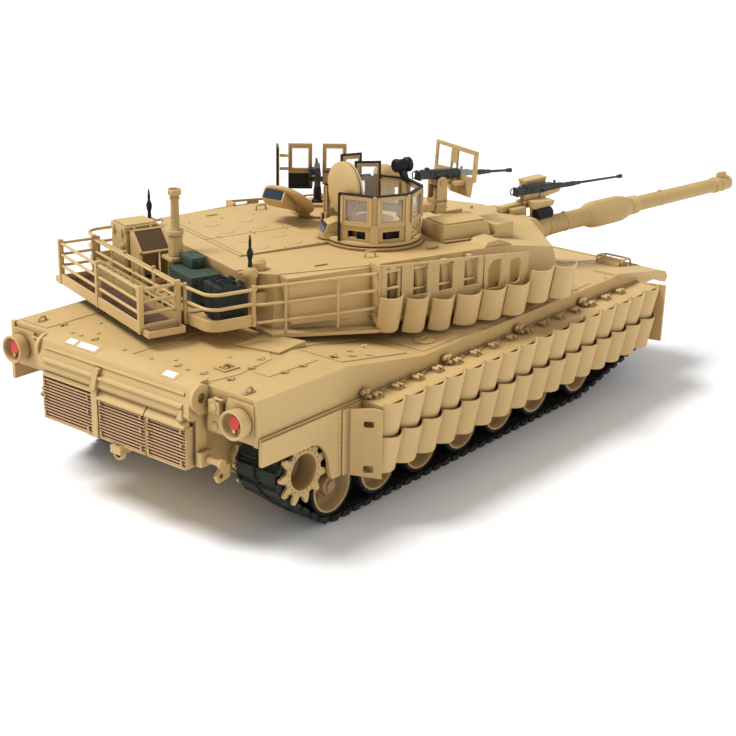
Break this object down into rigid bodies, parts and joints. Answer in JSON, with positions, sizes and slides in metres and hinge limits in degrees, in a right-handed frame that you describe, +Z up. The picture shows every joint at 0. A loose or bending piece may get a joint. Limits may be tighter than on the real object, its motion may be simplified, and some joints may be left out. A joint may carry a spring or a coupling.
{
  "type": "rc tank",
  "caption": "Tracked radio-controlled tank with traversing turret, elevating gun, sprung road wheels, armour tile skirts, hatches and stowage racks.",
  "frame": {"origin": "on the ground under the middle of the model's overall box, with the turret and gun as stored", "axes": "+X along the hull towards its front, +Y towards its left side, +Z up; the turret is stored turned 17 degrees to the right"},
  "size_m": [0.6073, 0.2792, 0.1924],
  "materials": {
    "sand_paint": "matt sand-coloured paint",
    "light_sand": "matt sand-coloured paint, slightly lighter",
    "grille_brown": "matt brown paint",
    "track_black": "matt near-black track links",
    "tyre": "matt black tyre",
    "gunmetal": "satin gunmetal",
    "olive_plastic": "matt dark grey-green",
    "bare_metal": "bare metal",
    "glass": "clear window",
    "blue_glass": "dark blue glossy vision block",
    "red_lens": "glossy red lens",
    "black_plastic": "black"
  },
  "bodies": {
    "hull": {"hull_tub": "sand_paint", "upper_hull": "sand_paint", "rear_grille": "grille_brown", "gearbox": "bare_metal", "battery_pack": "olive_plastic", "skirt_right": "sand_paint", "skirt_left": "sand_paint", "hull_tiles_right": "light_sand", "hull_tiles_left": "light_sand", "track_right": "track_black", "track_left": "track_black"},
    "driver_hatch": {"driver_hatch": "sand_paint"},
    "turret": {"turret_shell": "sand_paint", "turret_tiles_right": "light_sand", "turret_tiles_left": "light_sand", "bustle_rack": "sand_paint", "rear_basket": "sand_paint", "cooling_unit": "sand_paint", "stowed_cans": "olive_plastic"},
    "gun": {"gun_mantlet": "sand_paint", "gun_barrel": "sand_paint", "mantlet_machine_gun": "gunmetal"},
    "cupola": {"window_ring": "sand_paint"},
    "commander_hatch": {"commander_hatch": "sand_paint"},
    "commander_gun": {"commander_machine_gun": "gunmetal"},
    "loader_hatch": {"loader_hatch": "sand_paint"},
    "loader_gun": {"loader_machine_gun": "gunmetal"},
    "viewer": {"commander_viewer": "sand_paint"},
    "sprocket_right": {"drive_sprocket_right": "sand_paint"},
    "idler_right": {"idler_wheel_right": "light_sand"},
    "arm_right_1": {"suspension_arm_right_1": "sand_paint"},
    "wheel_right_1": {"road_wheel_right_1": "light_sand"},
    "arm_right_2": {"suspension_arm_right_2": "sand_paint"},
    "wheel_right_2": {"road_wheel_right_2": "light_sand"},
    "arm_right_3": {"suspension_arm_right_3": "sand_paint"},
    "wheel_right_3": {"road_wheel_right_3": "light_sand"},
    "arm_right_4": {"suspension_arm_right_4": "sand_paint"},
    "wheel_right_4": {"road_wheel_right_4": "light_sand"},
    "arm_right_5": {"suspension_arm_right_5": "sand_paint"},
    "wheel_right_5": {"road_wheel_right_5": "light_sand"},
    "arm_right_6": {"suspension_arm_right_6": "sand_paint"},
    "wheel_right_6": {"road_wheel_right_6": "light_sand"},
    "arm_right_7": {"suspension_arm_right_7": "sand_paint"},
    "wheel_right_7": {"road_wheel_right_7": "light_sand"},
    "sprocket_left": {"drive_sprocket_left": "sand_paint"},
    "idler_left": {"idler_wheel_left": "light_sand"},
    "arm_left_1": {"suspension_arm_left_1": "sand_paint"},
    "wheel_left_1": {"road_wheel_left_1": "light_sand"},
    "arm_left_2": {"suspension_arm_left_2": "sand_paint"},
    "wheel_left_2": {"road_wheel_left_2": "light_sand"},
    "arm_left_3": {"suspension_arm_left_3": "sand_paint"},
    "wheel_left_3": {"road_wheel_left_3": "light_sand"},
    "arm_left_4": {"suspension_arm_left_4": "sand_paint"},
    "wheel_left_4": {"road_wheel_left_4": "light_sand"},
    "arm_left_5": {"suspension_arm_left_5": "sand_paint"},
    "wheel_left_5": {"road_wheel_left_5": "light_sand"},
    "arm_left_6": {"suspension_arm_left_6": "sand_paint"},
    "wheel_left_6": {"road_wheel_left_6": "light_sand"},
    "arm_left_7": {"suspension_arm_left_7": "sand_paint"},
    "wheel_left_7": {"road_wheel_left_7": "light_sand"}
  },
  "joints": [
    {"name": "driver_hatch_swing", "type": "hinge", "parent": "hull", "child": "driver_hatch", "pos_m": [0.10635, 0.00632, 0.0902], "axis": [0, 0, 1], "range_deg": [0, 90]},
    {"name": "sprocket_right_spin", "type": "hinge", "parent": "hull", "child": "sprocket_right", "pos_m": [-0.24765, -0.09408, 0.0455], "axis": [0, 1, 0], "continuous": true},
    {"name": "idler_right_spin", "type": "hinge", "parent": "hull", "child": "idler_right", "pos_m": [0.15635, -0.09408, 0.041], "axis": [0, 1, 0], "continuous": true},
    {"name": "arm_right_1_swing", "type": "hinge", "parent": "hull", "child": "arm_right_1", "pos_m": [-0.19105, -0.07018, 0.038], "axis": [0, 1, 0], "range_deg": [0, 8], "stiffness_Nm_per_rad": 0.05},
    {"name": "wheel_right_1_spin", "type": "hinge", "parent": "arm_right_1", "child": "wheel_right_1", "pos_m": [-0.21605, -0.09408, 0.024], "axis": [0, 1, 0], "continuous": true},
    {"name": "arm_right_2_swing", "type": "hinge", "parent": "hull", "child": "arm_right_2", "pos_m": [-0.14545, -0.07018, 0.038], "axis": [0, 1, 0], "range_deg": [0, 8], "stiffness_Nm_per_rad": 0.05},
    {"name": "wheel_right_2_spin", "type": "hinge", "parent": "arm_right_2", "child": "wheel_right_2", "pos_m": [-0.17045, -0.09408, 0.024], "axis": [0, 1, 0], "continuous": true},
    {"name": "arm_right_3_swing", "type": "hinge", "parent": "hull", "child": "arm_right_3", "pos_m": [-0.09985, -0.07018, 0.038], "axis": [0, 1, 0], "range_deg": [0, 8], "stiffness_Nm_per_rad": 0.05},
    {"name": "wheel_right_3_spin", "type": "hinge", "parent": "arm_right_3", "child": "wheel_right_3", "pos_m": [-0.12485, -0.09408, 0.024], "axis": [0, 1, 0], "continuous": true},
    {"name": "arm_right_4_swing", "type": "hinge", "parent": "hull", "child": "arm_right_4", "pos_m": [-0.05425, -0.07018, 0.038], "axis": [0, 1, 0], "range_deg": [0, 8], "stiffness_Nm_per_rad": 0.05},
    {"name": "wheel_right_4_spin", "type": "hinge", "parent": "arm_right_4", "child": "wheel_right_4", "pos_m": [-0.07925, -0.09408, 0.024], "axis": [0, 1, 0], "continuous": true},
    {"name": "arm_right_5_swing", "type": "hinge", "parent": "hull", "child": "arm_right_5", "pos_m": [-0.00865, -0.07018, 0.038], "axis": [0, 1, 0], "range_deg": [0, 8], "stiffness_Nm_per_rad": 0.05},
    {"name": "wheel_right_5_spin", "type": "hinge", "parent": "arm_right_5", "child": "wheel_right_5", "pos_m": [-0.03365, -0.09408, 0.024], "axis": [0, 1, 0], "continuous": true},
    {"name": "arm_right_6_swing", "type": "hinge", "parent": "hull", "child": "arm_right_6", "pos_m": [0.03695, -0.07018, 0.038], "axis": [0, 1, 0], "range_deg": [0, 8], "stiffness_Nm_per_rad": 0.05},
    {"name": "wheel_right_6_spin", "type": "hinge", "parent": "arm_right_6", "child": "wheel_right_6", "pos_m": [0.01195, -0.09408, 0.024], "axis": [0, 1, 0], "continuous": true},
    {"name": "arm_right_7_swing", "type": "hinge", "parent": "hull", "child": "arm_right_7", "pos_m": [0.09465, -0.07018, 0.038], "axis": [0, 1, 0], "range_deg": [0, 8], "stiffness_Nm_per_rad": 0.05},
    {"name": "wheel_right_7_spin", "type": "hinge", "parent": "arm_right_7", "child": "wheel_right_7", "pos_m": [0.06965, -0.09408, 0.024], "axis": [0, 1, 0], "continuous": true},
    {"name": "sprocket_left_spin", "type": "hinge", "parent": "hull", "child": "sprocket_left", "pos_m": [-0.24765, 0.08372, 0.0455], "axis": [0, 1, 0], "continuous": true},
    {"name": "idler_left_spin", "type": "hinge", "parent": "hull", "child": "idler_left", "pos_m": [0.15635, 0.08372, 0.041], "axis": [0, 1, 0], "continuous": true},
    {"name": "arm_left_1_swing", "type": "hinge", "parent": "hull", "child": "arm_left_1", "pos_m": [-0.19105, 0.05982, 0.038], "axis": [0, 1, 0], "range_deg": [0, 8], "stiffness_Nm_per_rad": 0.05},
    {"name": "wheel_left_1_spin", "type": "hinge", "parent": "arm_left_1", "child": "wheel_left_1", "pos_m": [-0.21605, 0.08372, 0.024], "axis": [0, 1, 0], "continuous": true},
    {"name": "arm_left_2_swing", "type": "hinge", "parent": "hull", "child": "arm_left_2", "pos_m": [-0.14545, 0.05982, 0.038], "axis": [0, 1, 0], "range_deg": [0, 8], "stiffness_Nm_per_rad": 0.05},
    {"name": "wheel_left_2_spin", "type": "hinge", "parent": "arm_left_2", "child": "wheel_left_2", "pos_m": [-0.17045, 0.08372, 0.024], "axis": [0, 1, 0], "continuous": true},
    {"name": "arm_left_3_swing", "type": "hinge", "parent": "hull", "child": "arm_left_3", "pos_m": [-0.09985, 0.05982, 0.038], "axis": [0, 1, 0], "range_deg": [0, 8], "stiffness_Nm_per_rad": 0.05},
    {"name": "wheel_left_3_spin", "type": "hinge", "parent": "arm_left_3", "child": "wheel_left_3", "pos_m": [-0.12485, 0.08372, 0.024], "axis": [0, 1, 0], "continuous": true},
    {"name": "arm_left_4_swing", "type": "hinge", "parent": "hull", "child": "arm_left_4", "pos_m": [-0.05425, 0.05982, 0.038], "axis": [0, 1, 0], "range_deg": [0, 8], "stiffness_Nm_per_rad": 0.05},
    {"name": "wheel_left_4_spin", "type": "hinge", "parent": "arm_left_4", "child": "wheel_left_4", "pos_m": [-0.07925, 0.08372, 0.024], "axis": [0, 1, 0], "continuous": true},
    {"name": "arm_left_5_swing", "type": "hinge", "parent": "hull", "child": "arm_left_5", "pos_m": [-0.00865, 0.05982, 0.038], "axis": [0, 1, 0], "range_deg": [0, 8], "stiffness_Nm_per_rad": 0.05},
    {"name": "wheel_left_5_spin", "type": "hinge", "parent": "arm_left_5", "child": "wheel_left_5", "pos_m": [-0.03365, 0.08372, 0.024], "axis": [0, 1, 0], "continuous": true},
    {"name": "arm_left_6_swing", "type": "hinge", "parent": "hull", "child": "arm_left_6", "pos_m": [0.03695, 0.05982, 0.038], "axis": [0, 1, 0], "range_deg": [0, 8], "stiffness_Nm_per_rad": 0.05},
    {"name": "wheel_left_6_spin", "type": "hinge", "parent": "arm_left_6", "child": "wheel_left_6", "pos_m": [0.01195, 0.08372, 0.024], "axis": [0, 1, 0], "continuous": true},
    {"name": "arm_left_7_swing", "type": "hinge", "parent": "hull", "child": "arm_left_7", "pos_m": [0.09465, 0.05982, 0.038], "axis": [0, 1, 0], "range_deg": [0, 8], "stiffness_Nm_per_rad": 0.05},
    {"name": "wheel_left_7_spin", "type": "hinge", "parent": "arm_left_7", "child": "wheel_left_7", "pos_m": [0.06965, 0.08372, 0.024], "axis": [0, 1, 0], "continuous": true},
    {"name": "turret_traverse", "type": "hinge", "parent": "hull", "child": "turret", "pos_m": [-0.02565, -0.00518, 0.09], "axis": [0, 0, 1], "continuous": true},
    {"name": "gun_elevation", "type": "hinge", "parent": "turret", "child": "gun", "pos_m": [0.04894, -0.02798, 0.111], "axis": [-0.2924, -0.9563, 0], "range_deg": [-5, 14]},
    {"name": "cupola_turn", "type": "hinge", "parent": "turret", "child": "cupola", "pos_m": [-0.07546, -0.02446, 0.141], "axis": [0, 0, 1], "range_deg": [-90, 15]},
    {"name": "commander_hatch_close", "type": "hinge", "parent": "cupola", "child": "commander_hatch", "pos_m": [-0.09496, -0.01641, 0.156], "axis": [0.2924, 0.9563, 0], "range_deg": [0, 90]},
    {"name": "commander_gun_elevation", "type": "hinge", "parent": "cupola", "child": "commander_gun", "pos_m": [-0.02008, -0.03825, 0.172], "axis": [-0.2924, -0.9563, 0], "range_deg": [-4, 12]},
    {"name": "loader_hatch_close", "type": "hinge", "parent": "turret", "child": "loader_hatch", "pos_m": [-0.0666, 0.04732, 0.1435], "axis": [-0.0819, 0.9966, 0], "range_deg": [0, 142]},
    {"name": "loader_gun_swivel", "type": "hinge", "parent": "turret", "child": "loader_gun", "pos_m": [-0.02747, 0.06753, 0.15], "axis": [0, 0, 1], "range_deg": [-20, 20]},
    {"name": "viewer_turn", "type": "hinge", "parent": "turret", "child": "viewer", "pos_m": [0.00634, 0.03105, 0.15], "axis": [0, 0, 1], "continuous": true}
  ],
  "couplings": [
    {"joint": "idler_right_spin", "follows": "sprocket_right_spin", "ratio": 0.9259},
    {"joint": "wheel_right_1_spin", "follows": "sprocket_right_spin", "ratio": 0.8838},
    {"joint": "wheel_right_2_spin", "follows": "sprocket_right_spin", "ratio": 0.8838},
    {"joint": "wheel_right_3_spin", "follows": "sprocket_right_spin", "ratio": 0.8838},
    {"joint": "wheel_right_4_spin", "follows": "sprocket_right_spin", "ratio": 0.8838},
    {"joint": "wheel_right_5_spin", "follows": "sprocket_right_spin", "ratio": 0.8838},
    {"joint": "wheel_right_6_spin", "follows": "sprocket_right_spin", "ratio": 0.8838},
    {"joint": "wheel_right_7_spin", "follows": "sprocket_right_spin", "ratio": 0.8838},
    {"joint": "idler_left_spin", "follows": "sprocket_left_spin", "ratio": 0.9259},
    {"joint": "wheel_left_1_spin", "follows": "sprocket_left_spin", "ratio": 0.8838},
    {"joint": "wheel_left_2_spin", "follows": "sprocket_left_spin", "ratio": 0.8838},
    {"joint": "wheel_left_3_spin", "follows": "sprocket_left_spin", "ratio": 0.8838},
    {"joint": "wheel_left_4_spin", "follows": "sprocket_left_spin", "ratio": 0.8838},
    {"joint": "wheel_left_5_spin", "follows": "sprocket_left_spin", "ratio": 0.8838},
    {"joint": "wheel_left_6_spin", "follows": "sprocket_left_spin", "ratio": 0.8838},
    {"joint": "wheel_left_7_spin", "follows": "sprocket_left_spin", "ratio": 0.8838}
  ]
}
